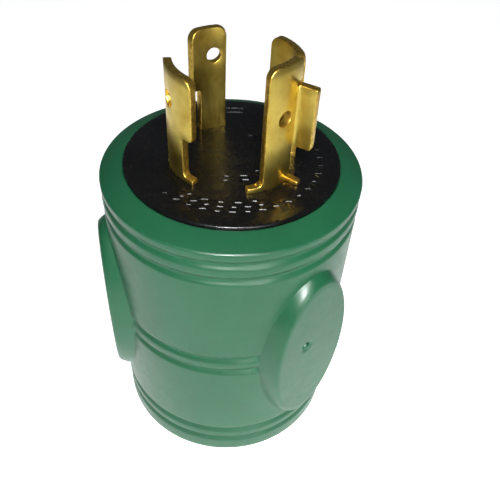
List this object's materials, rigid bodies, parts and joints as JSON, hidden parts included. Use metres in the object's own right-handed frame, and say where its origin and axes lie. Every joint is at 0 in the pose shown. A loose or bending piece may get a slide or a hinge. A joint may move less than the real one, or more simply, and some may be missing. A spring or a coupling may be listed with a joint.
{
  "type": "power plug adapter",
  "caption": "Compact barrel adapter: a locking plug with curved blades on one end, a travel-trailer receptacle on the other, in a grooved moulded jacket with oval finger pads.",
  "frame": {"origin": "centre of the base face, on the barrel's axis", "axes": "+Z along the barrel out of the plug end; -Y through the ground socket, 3 degrees from the middle of one finger pad"},
  "size_m": [0.0619, 0.0585, 0.1002],
  "materials": {
    "green_vinyl": "soft satin vinyl",
    "black_nylon": "smooth glossy moulding",
    "blade_brass": "brushed sheet with stamped edges",
    "contact_brass": "stamped, dull",
    "screw_steel": "zinc plated",
    "spring_steel": "dull",
    "copper_wire": "stranded copper, bare",
    "green_insulation": "smooth",
    "white_insulation": "smooth",
    "black_insulation": "smooth",
    "grey_core": "plain moulding"
  },
  "bodies": {
    "root": {"outer_jacket": "green_vinyl", "plug_face": "black_nylon", "blade_retainer": "black_nylon", "retainer_screws": "screw_steel", "blade_ground": "blade_brass", "blade_neutral": "blade_brass", "blade_hot_x": "blade_brass", "blade_hot_y": "blade_brass", "hot_y_tail_cap": "black_nylon", "conductor_ground": "copper_wire", "conductor_neutral": "copper_wire", "conductor_hot": "copper_wire", "insulation_ground": "green_insulation", "insulation_neutral": "white_insulation", "insulation_hot": "black_insulation", "core_half_left": "grey_core", "core_half_right": "grey_core", "core_pins": "screw_steel", "contact_carrier": "black_nylon", "carrier_screws": "screw_steel", "contact_ground": "contact_brass", "contact_neutral": "contact_brass", "contact_hot": "contact_brass", "spring_ground": "spring_steel", "spring_neutral": "spring_steel", "spring_hot": "spring_steel", "receptacle_face": "black_nylon"}
  },
  "joints": []
}
